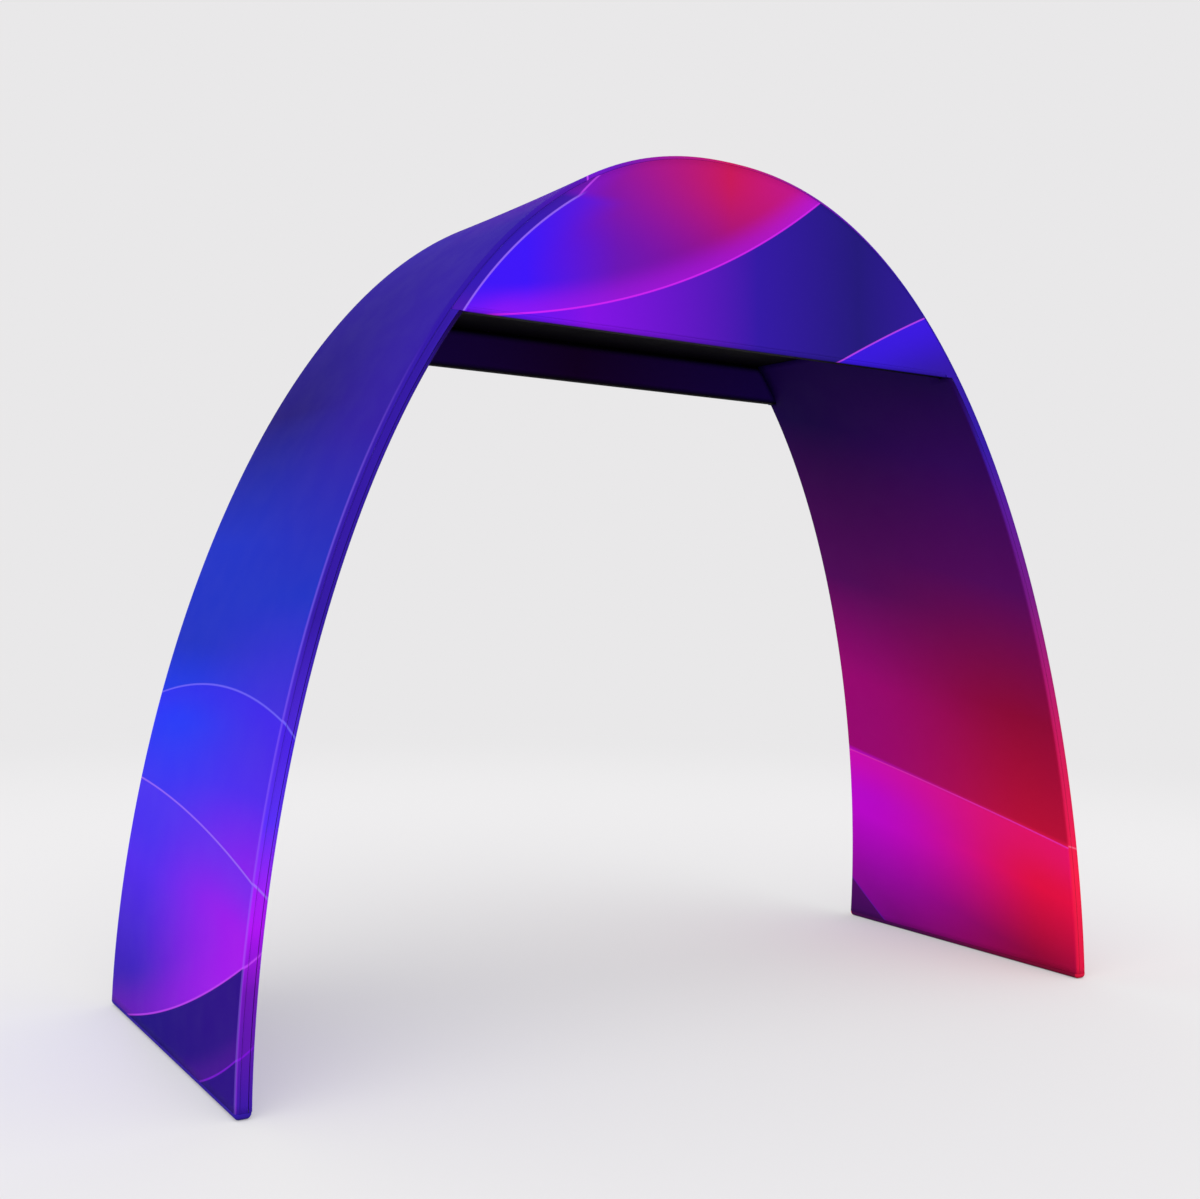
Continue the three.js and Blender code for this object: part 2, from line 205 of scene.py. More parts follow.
def frame_at(run):
    """The frame at a signed distance along the outline from the crown, positive to the right."""
    low = HALF - min(abs(run), HALF)
    i = min(max(bisect_left(LENGTHS, low), 1), len(LENGTHS) - 1)
    t = (low - LENGTHS[i - 1]) / (LENGTHS[i] - LENGTHS[i - 1])
    x, z, nx, nz = (a + (b - a) * t for a, b in zip(FRAMES[i - 1], FRAMES[i]))
    hand = -1 if run < 0 else 1
    return hand * x, z, hand * nx, nz


def flat_point(run, inward):
    """X and Z of the point at a distance along the outline and an offset into the opening."""
    x, z, nx, nz = frame_at(run)
    return x + inward * nx, z + inward * nz


def run_at(height, inward=0.0):
    """The distance from the crown at which the line at an inward offset has a height."""
    low, high = 0.0, HALF
    for _ in range(HALVINGS):
        middle = (low + high) / 2
        if flat_point(middle, inward)[1] > height:
            low = middle
        else:
            high = middle
    return low


def half_width(height, inward):
    return flat_point(run_at(height, inward), inward)[0]


def face_y(z, inset, side):
    """Y of the leaning front face (side -1) or back face (side 1), or of a plane inset from it."""
    return side * (DEPTH / 2 - LEAN * z - inset)


def steps(low, high, count):
    return [low + (high - low) * i / count for i in range(count + 1)]


def steps_between(a, b, count):
    """Points strictly between two points of a section."""
    return [(a[0] + (b[0] - a[0]) * i / count, a[1] + (b[1] - a[1]) * i / count) for i in range(1, count)]


def link_mesh(name, points, faces, uvs, outward):
    """A smooth mesh object with a UV map in metres. outward tells which side of a face is seen."""
    mesh = bpy.data.meshes.new(name)
    facing = 0.0
    for face in faces:
        a, b, c = (points[i] for i in face[:3])
        facing += (b - a).cross(c - b).dot(outward(a))
    if facing < 0:
        faces = [tuple(reversed(face)) for face in faces]
    mesh.from_pydata(points, [], faces)
    layer = mesh.uv_layers.new(name="cloth")
    layer.data.foreach_set("uv", [w for loop in mesh.loops for w in uvs[loop.vertex_index]])
    mesh.polygons.foreach_set("use_smooth", [True] * len(mesh.polygons))
    mesh.update()
    piece = bpy.data.objects.new(name, mesh)
    bpy.context.scene.collection.objects.link(piece)
    return piece


def grid_piece(name, rows, outward, keep=None):
    """A cloth from rows of (point, across, along), less the squares that keep turns down."""
    columns = len(rows[0])
    points = [spot[0] for row in rows for spot in row]
    uvs = [spot[1:] for row in rows for spot in row]
    faces = []
    for i in range(len(rows) - 1):
        for j in range(columns - 1):
            if keep is None or keep(i, j):
                a = i * columns + j
                faces.append((a, a + 1, a + columns + 1, a + columns))
    return link_mesh(name, points, faces, uvs, outward)


def finish_cloth(piece, material, stands_for):
    thick = piece.modifiers.new("cloth", "SOLIDIFY")
    thick.thickness = CLOTH
    thick.offset = -1
    piece.data.materials.append(material)
    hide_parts(*stands_for)
    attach(piece, "root")


def edge_columns():
    """(inward, inset, across) from the front seam round the front corner of the cover."""
    cut, cloth_side = CORNER + SEAM_MARGIN, CORNER - SEAM_WIDTH
    seam = [(cut, TUCK), (cut - EDGE_SLOPE, -SEAM_RISE), (cloth_side + CLOTH_SLOPE, -SEAM_RISE),
            (cloth_side, -SEAM_MARGIN)]
    turn = steps(math.asin(SEAM_WIDTH / CORNER), math.pi / 2, CORNER_COLUMNS)[1:]
    bend = [(CORNER - CORNER * math.sin(a), CORNER - CORNER * math.cos(a)) for a in turn]
    columns, across = [], 0.0
    for i, (inward, inset) in enumerate(seam + bend):
        if i:
            last = columns[-1]
            across += math.hypot(inward - last[0], inset - last[1])
        columns.append((inward, inset, across))
    return columns


EDGE = edge_columns()
TURN_WIDTH = EDGE[-1][2]


def cover_row(run_for, surface, bulge):
    """One row across a band: the front corner, the wide face and the back corner."""
    row = []
    for inward, inset, across in EDGE:
        run = run_for(surface(inward))
        x, z = flat_point(run, surface(inward))
        row.append((Vector((x, face_y(z, inset, -1), z)), across, run + HALF))
    for t in steps(0, 1, MIDDLE_COLUMNS)[1:-1]:
        run = run_for(surface(0.0))
        x, z = flat_point(run, surface(0.0) + bulge * 4 * t * (1 - t))
        reach = -face_y(z, CORNER, -1)
        row.append((Vector((x, (2 * t - 1) * reach, z)), TURN_WIDTH + 2 * reach * t, run + HALF))
    for inward, inset, across in reversed(EDGE):
        run = run_for(surface(inward))
        x, z = flat_point(run, surface(inward))
        whole = 2 * (TURN_WIDTH - face_y(z, CORNER, -1))
        row.append((Vector((x, face_y(z, inset, 1), z)), whole - across, run + HALF))
    return row


def tautness(run):
    """The draw-in fades out towards the feet, where the sleeves are closed."""
    return min(1.0, (HALF - abs(run)) / FADE_AT_FEET)


def outer_cover(material):
    """The strip over the outside, from floor to floor."""
    foot_run = run_at(LEG_START)
    rows = [cover_row(lambda _, run=run: run, lambda inward: inward, DRAW_IN * tautness(run))
            for run in steps(-foot_run, foot_run, OUTER_ROWS)]
    piece = grid_piece("outer_cover", rows, lambda p: Vector((p.x, 0, p.z)))
    finish_cloth(piece, material, ["outer_panel"])


def inner_cover(hand, material):
    """The inside of a leg. Its corners stop under the headers and its middle goes up to the soffit."""
    def surface(inward):
        return INNER_FACE - inward

    rows = []
    for i in range(LEG_ROWS + RECESS_ROWS + 1):
        def run_for(inward, i=i):
            foot_run, lintel = run_at(LEG_START, inward), run_at(LINTEL - GAP, inward)
            if i <= LEG_ROWS:
                return hand * (foot_run + (lintel - foot_run) * i / LEG_ROWS)
            top = run_at(SOFFIT - GAP, inward)
            return hand * (lintel + (top - lintel) * (i - LEG_ROWS) / RECESS_ROWS)
        rows.append(cover_row(run_for, surface, DRAW_IN * tautness(run_for(INNER_FACE))))
    first, last = len(EDGE) + 1, len(EDGE) + MIDDLE_COLUMNS - 3
    for row in rows[LEG_ROWS:]:
        for column, side in ((first, -1), (last, 1)):
            point, across, along = row[column]
            row[column] = (Vector((point.x, face_y(point.z, BAND + GAP, side), point.z)), across, along)
    end = "right" if hand > 0 else "left"
    piece = grid_piece(f"inner_cover_{end}", rows, lambda p: Vector((-hand, 0, 0)),
                       lambda i, j: i < LEG_ROWS or first <= j < last)
    finish_cloth(piece, material, [f"inner_panel_{end}"])


def leg_seam(position, low, high):
    """The rise of a narrow leg face at its two seams, with the cut edges tucked in."""
    edge = min(position - low, high - position)
    if edge < LEG_CUT:
        return -LEG_TUCK
    return SEAM_RISE if edge < SEAM_WIDTH - CLOTH_SLOPE else 0.0


def leg_face(hand, side, material):
    """The narrow face of a leg, from the foot to the header."""
    low, high = CORNER + GAP, BAND - CORNER
    columns = [low + along for along in LEG_SEAM_COLUMNS]
    columns += steps(low + 2 * SEAM_WIDTH, high - 2 * SEAM_WIDTH, LEG_COLUMNS)
    columns += [high - along for along in reversed(LEG_SEAM_COLUMNS)]
    rows = []
    for t in steps(0, 1, LEG_ROWS):
        row = []
        for inward in columns:
            foot_run, lintel = run_at(LEG_START, inward), run_at(LINTEL - GAP, inward)
            run = hand * (foot_run + (lintel - foot_run) * t)
            x, z = flat_point(run, inward)
            row.append((Vector((x, face_y(z, -leg_seam(inward, low, high), side), z)), inward, run + HALF))
        rows.append(row)
    ends = ("back" if side > 0 else "front") + ("_right" if hand > 0 else "_left")
    piece = grid_piece(f"leg_face_cover_{ends}", rows, lambda p: Vector((0, side, 0)))
    finish_cloth(piece, material, [f"leg_face_{ends}"])


def header_face(side, material):
    """The D-shaped face, in columns from its bottom fold up to the seam along the crown."""
    inward = CORNER + GAP
    tip = run_at(LINTEL + HEADER_TIP, inward)
    shoulder = half_width(LINTEL + CORNER, BAND - CLOTH)
    heights = FOLD_ROWS + steps(2 * FOLD_ROWS[-1], 1, HEADER_ROWS)
    rows = []
    for run in steps(-tip, tip, HEADER_COLUMNS):
        x, top = flat_point(run, inward)
        bottom = LINTEL + inward * min(1.0, max(0.0, (shoulder - abs(x)) / TIP_SLOPE))
        seam = [top - SEAM_WIDTH, top - SEAM_WIDTH + CLOTH_SLOPE, top - EDGE_SLOPE, top]
        row = []
        for z in [bottom + (seam[0] - bottom) * t for t in heights] + seam[1:]:
            share = max(0.0, (z - bottom) / max(top - bottom, 1e-6))
            hollow = DRAW_IN * 4 * share * (1 - share) * math.cos(math.pi / 2 * run / tip)
            rise = SEAM_RISE if z in seam[1:3] else 0.0
            row.append((Vector((x, face_y(z, hollow - rise, side), z)), x + WIDTH / 2, z))
        rows.append(row)
    end = "back" if side > 0 else "front"
    piece = grid_piece(f"header_cover_{end}", rows, lambda p: Vector((0, side, 0)))
    finish_cloth(piece, material, [f"header_face_{end}"])


def header_return(side, material):
    """The strip that rounds the header's bottom edge and runs up its hidden side."""
    turn = steps(0, math.pi / 2, RETURN_TURN)
    front = [(CORNER - CORNER * math.cos(a), LINTEL + CORNER - CORNER * math.sin(a)) for a in turn]
    hidden = [(BAND - inset, z) for inset, z in reversed(front)]
    top = (BAND, SOFFIT - GAP)
    section = front + steps_between(front[-1], hidden[0], RETURN_FLAT) + hidden
    section += steps_between(hidden[-1], top, RETURN_RISE) + [top]
    rows, along = [], 0.0
    for i, (inset, z) in enumerate(section):
        along += math.dist(section[i - 1], (inset, z)) if i else 0.0
        end_x = half_width(z, BAND - TUCK)
        rows.append([(Vector((x, face_y(z, inset, side), z)), x + WIDTH / 2, along)
                     for x in steps(-end_x, end_x, RETURN_COLUMNS)])
    end = "back" if side > 0 else "front"
    piece = grid_piece(f"header_return_cover_{end}", rows, lambda p: Vector((0, 0, -1)))
    finish_cloth(piece, material, [f"header_return_{end}"])


def soffit(material):
    """The panel between the headers, painted dark as shade, hanging a few millimetres in the middle."""
    inset = BAND - TUCK
    half_x, half_y = half_width(SOFFIT, inset), face_y(SOFFIT, inset, 1)
    rows = []
    for s in steps(-1, 1, SOFFIT_ROWS):
        row = []
        for t in steps(-1, 1, SOFFIT_COLUMNS):
            z = SOFFIT + SOFFIT_LIFT - SOFFIT_HANG * (1 - s * s) * (1 - t * t)
            row.append((Vector((s * half_x, t * half_y, z)), t * half_y + DEPTH / 2, s * half_x + WIDTH / 2))
        rows.append(row)
    piece = grid_piece("soffit_cover", rows, lambda p: Vector((0, 0, -1)))
    finish_cloth(piece, material, ["soffit_panel"])


def foot_ring(centre, inset, z):
    """A rounded rectangle at a height, inset from the foot's sides, as a closed ring of points."""
    radius = max(CORNER - inset, TIGHT_CORNER)
    half_x = BAND / 2 - inset - radius
    half_y = DEPTH / 2 - LEAN * z - inset - radius
    corners = [(1, 1), (-1, 1), (-1, -1), (1, -1)]
    ring = []
    for quarter, (sx, sy) in enumerate(corners):
        for a in steps(0, math.pi / 2, FOOT_TURN):
            bearing = a + quarter * math.pi / 2
            ring.append(Vector((centre + sx * half_x + radius * math.cos(bearing),
                                sy * half_y + radius * math.sin(bearing), z)))
        next_sy = corners[(quarter + 1) % 4][1]
        if sy != next_sy:
            start = ring[-1]
            finish = Vector((start.x, next_sy * half_y, z))
            ring += [start.lerp(finish, t) for t in steps(0, 1, FOOT_SIDE)[1:-1]]
    return ring


def foot(hand, material):
    """The rounded bottom of a sleeve: rings from its underside up over the rolled edge."""
    turn = steps(0, math.pi / 2, FOOT_TURN)
    profile = [(SOLE_INSET, 0.0)]
    profile += [(FOOT_ROLL - FOOT_ROLL * math.sin(a), FOOT_ROLL - FOOT_ROLL * math.cos(a)) for a in turn]
    profile.append((0.0, FOOT_RIM))
    centre = hand * (WIDTH - BAND) / 2
    points, uvs, along = [], [], 0.0
    for i, (inset, z) in enumerate(profile):
        along += math.dist(profile[i - 1], (inset, z)) if i else 0.0
        ring, around = foot_ring(centre, inset, z), 0.0
        for j, point in enumerate(ring):
            around += (point - ring[j - 1]).length if j else 0.0
            points.append(point)
            uvs.append((around, along))
    count = len(ring)
    faces = [tuple(reversed(range(count)))]
    for low in range(0, len(points) - count, count):
        for j in range(count):
            a, b = low + j, low + (j + 1) % count
            faces.append((a, b, b + count, a + count))
    side = "right" if hand > 0 else "left"
    piece = link_mesh(f"foot_cover_{side}", points, faces, uvs,
                      lambda p: Vector((p.x - centre, 0, p.z - FOOT_ROLL)))
    finish_cloth(piece, material, [f"foot_panel_{side}"])


def linear(code, gain=(1.0, 1.0, 1.0)):
    """An sRGB hex colour turned to linear, with a gain on its red, green and blue."""
    values = [int(code[i:i + 2], 16) / 255 for i in (1, 3, 5)]
    light = [v / 12.92 if v <= 0.04045 else ((v + 0.055) / 1.055) ** 2.4 for v in values]
    return tuple(min(v * g, 0.95) for v, g in zip(light, gain)) + (1.0,)


def dye(name, gain=(1.0, 1.0, 1.0)):
    return linear(DYES[name], gain)


def node(tree, kind, *values, named=None, **settings):
    """Adds a node, sets its properties, then sets or links its inputs, in order or by name.
    A node given as a value stands for its first output."""
    made = tree.nodes.new("ShaderNode" + kind)
    for name, value in settings.items():
        setattr(made, name, value)
    pairs = list(zip([socket for socket in made.inputs if socket.enabled], values))
    pairs += [(made.inputs[name], value) for name, value in (named or {}).items()]
    for socket, value in pairs:
        if isinstance(value, bpy.types.Node):
            value = next(output for output in value.outputs if output.enabled)
        if isinstance(value, bpy.types.NodeSocket):
            tree.links.new(value, socket)
        else:
            socket.default_value = value
    return made


def empty_material(name):
    material = bpy.data.materials.new(name)
    material.use_nodes = True
    material.node_tree.nodes.clear()
    return material, material.node_tree


def gradient(tree, value, stops, gain):
    """A colour by a value, from (value, dye) stops in rising order."""
    low, high = stops[0][0], stops[-1][0]
    made = node(tree, "ValToRGB", node(tree, "MapRange", value, low, high))
    elements = made.color_ramp.elements
    while len(elements) < len(stops):
        elements.new(0.5)
    for i, (at, _) in enumerate(stops):
        elements[i].position = (at - low) / (high - low)
    for element, (_, name) in zip(elements, stops):
        element.color = dye(name, gain)
    return made


def beyond_circle(tree, plane, centre, radius):
    """How far a place in a plane is outside a circle, and less than nothing inside it."""
    place = node(tree, "CombineXYZ", *plane)
    away = node(tree, "VectorMath", place, (*centre, 0.0), operation="DISTANCE")
    return node(tree, "Math", away, radius, operation="SUBTRACT")


class Print:
    """The dye print of one cloth: where a place is on the arch, and a colour that is laid on in steps."""

    def __init__(self, name):
        self.material, self.tree = empty_material(name)
        tree = self.tree
        place = node(tree, "TexCoord").outputs["Object"]
        self.x, self.y, self.z = node(tree, "SeparateXYZ", place).outputs
        self.right = node(tree, "Math", self.x, 0.0, operation="GREATER_THAN")
        self.left = node(tree, "Math", 1.0, self.right, operation="SUBTRACT")
        self.back = node(tree, "Math", self.y, 0.0, operation="GREATER_THAN")
        self.front = node(tree, "Math", 1.0, self.back, operation="SUBTRACT")
        # Distance from the plane of the front at the floor, distance inside the nearer leaning face, and
        # depth from 0 at the front to 1 at the back
        self.from_front = node(tree, "Math", self.y, DEPTH / 2, operation="ADD")
        reach = node(tree, "Math", self.z, -LEAN, DEPTH / 2, operation="MULTIPLY_ADD")
        aside = node(tree, "Math", self.y, operation="ABSOLUTE")
        self.inset = node(tree, "Math", reach, aside, operation="SUBTRACT")
        halves = node(tree, "Math", self.y, reach, operation="DIVIDE")
        self.depth = node(tree, "Math", halves, 0.5, 0.5, operation="MULTIPLY_ADD")
        # The front corner, which shows the arcs of the narrow face, and all of a wide face but that corner
        turned = node(tree, "Math", self.inset, CORNER_PRINT, operation="LESS_THAN")
        self.corner = node(tree, "Math", turned, self.front, operation="MULTIPLY")
        self.wide = node(tree, "Math", 1.0, self.corner, operation="SUBTRACT")
        self.colour = None

    def lay(self, colour, share, *masks):
        """Lays a colour over the print by a share, where all of the masks hold."""
        for mask in masks:
            share = node(self.tree, "Math", share, mask, operation="MULTIPLY")
        self.colour = node(self.tree, "Mix", share, self.colour, colour, **COLOUR_MIX)

    def arc(self, plane, circle, line, glow, where, strength, spread, beyond=None, beyond_share=0.8):
        """A thin bright arc with a glow on its hollow side, and another colour beyond it."""
        tree = self.tree
        distance = beyond_circle(tree, plane, *circle)
        if beyond:
            covers = node(tree, "MapRange", distance, 0.0, 0.003, 0.0, beyond_share, **SMOOTH)
            self.lay(dye(beyond), covers, *where)
        inside = node(tree, "Math", distance, 0.0, operation="LESS_THAN")
        glows = node(tree, "MapRange", distance, -spread, 0.0, 0.0, strength, **SMOOTH)
        self.lay(dye(glow), glows, inside, *where)
        off_line = node(tree, "Math", distance, operation="ABSOLUTE")
        near = node(tree, "MapRange", off_line, LINE_HALF, LINE_EDGE, LINE_SHARE, 0.0, **SMOOTH)
        self.lay(dye(line), near, *where)

    def knit(self):
        """Stretch polyester knit: matt and evenly dyed, with hardly a shine, and fine ribs close up."""
        tree = self.tree
        cloth = node(tree, "UVMap", uv_map="cloth")
        ribs = node(tree, "TexWave", wave_type="BANDS", bands_direction="X", wave_profile="SIN",
                    named={"Vector": cloth, "Scale": math.pi / (10 * RIB), "Distortion": 0.6,
                           "Detail": 1.0, "Detail Scale": 2.0})
        wisps = node(tree, "TexNoise", named={"Vector": cloth, "Scale": 1 / WISP, "Detail": 3.0})
        fine = node(tree, "Bump", named={
            "Strength": 0.25, "Distance": 0.0002, "Height": ribs.outputs["Fac"]})
        pull = node(tree, "Bump", named={
            "Strength": 0.12, "Distance": 0.001, "Height": wisps, "Normal": fine})
        rough = node(tree, "MapRange", wisps, 0.3, 0.7, 0.62, 0.7, **SMOOTH)
        shader = node(tree, "BsdfPrincipled", named={
            "Base Color": self.colour, "Normal": pull, "Roughness": rough, "Specular IOR Level": 0.02})
        node(tree, "OutputMaterial", shader)
        return self.material


def along_stops(left, crown, right):
    """Stops by height on both legs, turned to stops by distance along the cloth from the left foot."""
    stops = [(HALF - run_at(z), name) for z, name in left + crown]
    return stops + [(HALF + run_at(z), name) for z, name in reversed(right)]


def outer_print():
    """Knit of the outside: violet and blue on the left, scarlet and magenta on the right."""
    cloth = Print("dye-printed stretch polyester knit, outside")
    tree = cloth.tree
    along = node(tree, "SeparateXYZ", node(tree, "UVMap", uv_map="cloth")).outputs[1]
    front = along_stops(OUTER_LEFT_FRONT, CROWN_FRONT, OUTER_RIGHT_FRONT)
    back = along_stops(OUTER_LEFT_BACK, CROWN_BACK, OUTER_RIGHT_BACK)
    across = node(tree, "MapRange", cloth.depth, -0.05, 0.85, **SMOOTH)
    cloth.colour = node(tree, "Mix", across, gradient(tree, along, front, OUTER_GAIN),
                        gradient(tree, along, back, OUTER_GAIN), **COLOUR_MIX)
    left_arcs(cloth)
    right_arcs(cloth)
    high = node(tree, "MapRange", cloth.z, *CROWN_ARC_START, **SMOOTH)
    cloth.arc((cloth.x, cloth.from_front), ((0.877, -0.454), 1.5), "orchid", "grape", (high,), 0.35, 0.12)
    turn_corner(cloth)
    # A painted sheen down the left leg's front corner
    painted_corner_sheen(cloth)
    return cloth.knit()


def left_arcs(cloth):
    """Four arcs low on the left leg, on its wide face."""
    side = (cloth.from_front, cloth.z)
    low = node(cloth.tree, "Math", cloth.z, LEFT_ARCS_TOP, operation="LESS_THAN")
    where = (cloth.left, low, cloth.wide)
    cloth.arc(side, ((0.587, -1.62), 2.62), "pale blue", "electric blue", where, 0.35, 0.14)
    cloth.arc(side, LEFT_CIRCLE, "lilac", "blue violet", where, 0.45, 0.16)
    cloth.arc(side, ((1.874, 3.975), 4.06), "orchid", "violet", where, 0.25, 0.14, "deep indigo", 0.96)
    cloth.arc(side, ((0.784, 1.434), 1.503), "grape", "purple", where, 0.3, 0.08)


def right_arcs(cloth):
    """Two arcs on the outside of the right leg, on its wide face."""
    side = (cloth.from_front, cloth.z)
    low = node(cloth.tree, "Math", cloth.z, RIGHT_ARCS_TOP, operation="LESS_THAN")
    where = (cloth.right, low, cloth.wide)
    cloth.arc(side, RIGHT_CIRCLE, "pale rose", "scarlet", where, 0.35, 0.14)
    cloth.arc(side, ((0.2, -1.1), 2.35), "orchid", "fuchsia", where, 0.25, 0.18)


def painted_corner_sheen(cloth):
    """A painted sheen: a fine light line down the left leg's front corner, where the cloth turns over the
    tube.
    """
    tree = cloth.tree
    inner_edge = node(tree, "MapRange", cloth.inset, 0.007, 0.012, 1.0, 0.0, **SMOOTH)
    outer_edge = node(tree, "MapRange", cloth.inset, 0.002, 0.006, **SMOOTH)
    on_leg = node(tree, "MapRange", cloth.x, -1.25, -0.95, 0.3, 0.0, **SMOOTH)
    cloth.lay(dye("lilac"), inner_edge, outer_edge, cloth.front, on_leg)


def foot_print():
    """Knit of the sleeves' rounded bottoms, in the end tones of the faces above them, with a painted contact
    shadow along the floor.
    """
    cloth = Print("dye-printed stretch polyester knit, feet")
    tree = cloth.tree
    across = node(tree, "MapRange", cloth.depth, 0.0, 0.85, **SMOOTH)
    off_middle = node(tree, "Math", cloth.x, operation="ABSOLUTE")
    outside = node(tree, "Math", off_middle, WIDTH / 2 - BAND / 2, operation="GREATER_THAN")
    inside_left = node(tree, "Mix", across, dye("indigo"), dye("navy"), **COLOUR_MIX)
    inside_right = node(tree, "Mix", across, dye("wine"), dye("plum"), **COLOUR_MIX)
    outside_right = node(tree, "Mix", across, dye("crimson"), dye("plum"), **COLOUR_MIX)
    left = node(tree, "Mix", outside, inside_left, dye("indigo"), **COLOUR_MIX)
    right = node(tree, "Mix", outside, inside_right, outside_right, **COLOUR_MIX)
    cloth.colour = node(tree, "Mix", cloth.right, left, right, **COLOUR_MIX)
    aside = node(tree, "Math", cloth.y, operation="ABSOLUTE")
    on_end = node(tree, "Math", aside, DEPTH / 2 - CORNER, operation="GREATER_THAN")
    cloth.lay(dye("indigo"), on_end, cloth.left)
    cloth.lay(dye("crimson"), on_end, cloth.right)
    # Painted contact shadow: the feet darken in black plum over their lowest 12 mm
    cloth.lay(dye("black plum"), node(tree, "MapRange", cloth.z, 0.0, 0.012, 0.55, 0.0, **SMOOTH))
    return cloth.knit()


def inner_print():
    """Knit of the inside of the legs: scarlet, magenta and dark plum on the right, indigo on the left."""
    cloth = Print("dye-printed stretch polyester knit, inside")
    tree = cloth.tree
    across = node(tree, "MapRange", cloth.depth, 0.1, 0.95, **SMOOTH)
    sloped = node(tree, "Math", cloth.from_front, -INNER_SLOPE, cloth.z, operation="MULTIPLY_ADD")
    right = node(tree, "Mix", across, gradient(tree, sloped, INNER_RIGHT_FRONT, INNER_GAIN),
                 gradient(tree, sloped, INNER_RIGHT_BACK, INNER_GAIN), **COLOUR_MIX)
    left = node(tree, "Mix", across, gradient(tree, cloth.z, INNER_LEFT_FRONT, INNER_GAIN),
                gradient(tree, cloth.z, INNER_LEFT_BACK, INNER_GAIN), **COLOUR_MIX)
    cloth.colour = node(tree, "Mix", cloth.right, left, right, **COLOUR_MIX)
    side = (cloth.from_front, cloth.z)
    cloth.arc(side, RIGHT_CIRCLE, "pink", "hot pink", (cloth.right, cloth.wide), 0.4, 0.18)
    cloth.arc(side, ((-0.724, 2.508), 3.0), "purple", "magenta", (cloth.right,), 0.15, 0.08,
              "aubergine", 0.7)
    cloth.arc(side, LEFT_CIRCLE, "lilac", "blue violet", (cloth.left, cloth.wide), 0.35, 0.16)
    turn_corner(cloth)
    return cloth.knit()


def header_colour(cloth):
    """The header's print: blue at the left, rose at the crown, indigo at the right, and four arcs."""
    tree = cloth.tree
    plane = (cloth.x, cloth.z)
    to_crown = node(tree, "MapRange", cloth.z, *CROWN_START, **SMOOTH)
    cloth.colour = gradient(tree, cloth.x, HEADER_UPPER, FACE_GAIN)
    cloth.lay(gradient(tree, cloth.x, HEADER_CROWN, FACE_GAIN), to_crown)
    below = node(tree, "MapRange", beyond_circle(tree, plane, *HEADER_CIRCLE), -0.004, 0.004, **SMOOTH)
    cloth.lay(gradient(tree, cloth.x, HEADER_LOWER, FACE_GAIN), below)
    on_header = node(tree, "Math", cloth.z, LINTEL, operation="GREATER_THAN")
    under_fork = node(tree, "MapRange", cloth.z, *FORK, 1.0, 0.0, **SMOOTH)
    over_fork = node(tree, "MapRange", cloth.z, *FORK, **SMOOTH)
    at_left = node(tree, "Math", cloth.x, -0.2, operation="LESS_THAN")
    cloth.arc(plane, HEADER_CIRCLE, "bright orchid", "violet", (on_header,), 0.5, 0.09)
    cloth.arc(plane, ((0.187, 1.324), 1.284), "lilac", "electric blue", (on_header, under_fork), 0.5, 0.1,
              "indigo")
    cloth.arc(plane, ((0.223, 1.732), 1.0), "orchid", "grape", (at_left, over_fork), 0.3, 0.06, "purple")
    cloth.arc(plane, ((3.267, -3.259), 6.0), "orchid", "electric blue", (on_header,), 0.7, 0.22)


def leg_fronts(cloth):
    """The colours of the two legs' narrow front faces."""
    tree = cloth.tree
    return node(tree, "Mix", cloth.right, gradient(tree, cloth.z, LEG_LEFT_FRONT, LEG_GAIN),
                gradient(tree, cloth.z, OUTER_RIGHT_FRONT, LEG_GAIN), **COLOUR_MIX)


def leg_backs(cloth):
    """The colours of the two legs' narrow back faces."""
    tree = cloth.tree
    return node(tree, "Mix", cloth.right, gradient(tree, cloth.z, OUTER_LEFT_BACK, LEG_GAIN),
                gradient(tree, cloth.z, OUTER_RIGHT_BACK, LEG_GAIN), **COLOUR_MIX)


def turn_corner(cloth):
    """Carries the narrow front faces' print round onto the corner of a wide face."""
    tree = cloth.tree
    soft = node(tree, "MapRange", cloth.inset, 0.001, 0.008, 1.0, 0.0, **SMOOTH)
    low = node(tree, "MapRange", cloth.z, LINTEL - 0.3, LINTEL, 1.0, 0.0, **SMOOTH)
    cloth.lay(leg_fronts(cloth), soft, cloth.front, low)
    leg_arcs(cloth, cloth.corner)


def leg_arcs(cloth, where):
    """The arcs of both legs, carried on over their narrow faces and round the front corners."""
    plane = (cloth.x, cloth.z)
    low = node(cloth.tree, "Math", cloth.z, LEG_ARCS_TOP, operation="LESS_THAN")
    left, right = (cloth.left, where, low), (cloth.right, where, low)
    cloth.arc(plane, ((-2.187, 0.350), 1.0), "pale blue", "electric blue", left, 0.3, 0.1)
    cloth.arc(plane, ((-2.173, -0.141), 1.0), "lilac", "violet", left, 0.3, 0.1)
    cloth.arc(plane, ((-2.024, 1.199), 1.0), "orchid", "grape", left, 0.3, 0.1)
    cloth.arc(plane, ((-2.033, 0.986), 1.0), "grape", "purple", left, 0.3, 0.06)
    cloth.arc(plane, ((1.169, -0.512), 1.0), "pale rose", "scarlet", right, 0.3, 0.1)


def face_print():
    """Knit of the narrow leg faces and the headers."""
    cloth = Print("dye-printed stretch polyester knit, faces")
    tree = cloth.tree
    header_colour(cloth)
    header = cloth.colour
    cloth.colour = node(tree, "Mix", cloth.back, leg_fronts(cloth), leg_backs(cloth), **COLOUR_MIX)
    leg_arcs(cloth, cloth.front)
    cloth.lay(header, node(tree, "Math", cloth.z, LINTEL - GAP / 2, operation="GREATER_THAN"))
    return cloth.knit()


